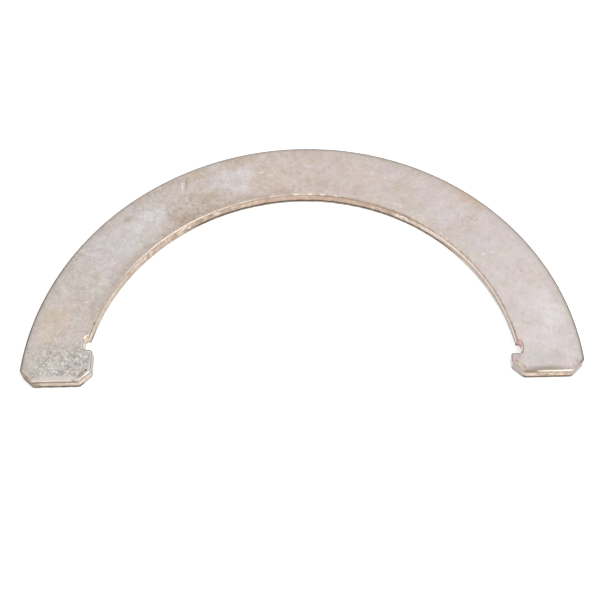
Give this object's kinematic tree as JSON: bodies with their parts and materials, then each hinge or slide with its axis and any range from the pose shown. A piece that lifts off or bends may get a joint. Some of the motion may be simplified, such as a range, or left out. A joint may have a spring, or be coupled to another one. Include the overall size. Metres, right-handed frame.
{
  "type": "half thrust washer",
  "caption": "Flat half-ring thrust washer with hooked end lugs and corner reliefs, for taking a shaft's end thrust in a bearing saddle.",
  "frame": {"origin": "on the axis of the bore, on the parting line, at the level of the lower face", "axes": "+X along the parting line towards the short lug, +Y up the arc, +Z along the bore axis towards the rolled upper face"},
  "size_m": [0.1718, 0.086, 0.0043],
  "materials": {
    "tin_flashed_steel": "satin tin flash, lightly tarnished"
  },
  "bodies": {
    "root": {"thrust_washer": "tin_flashed_steel"}
  },
  "joints": []
}
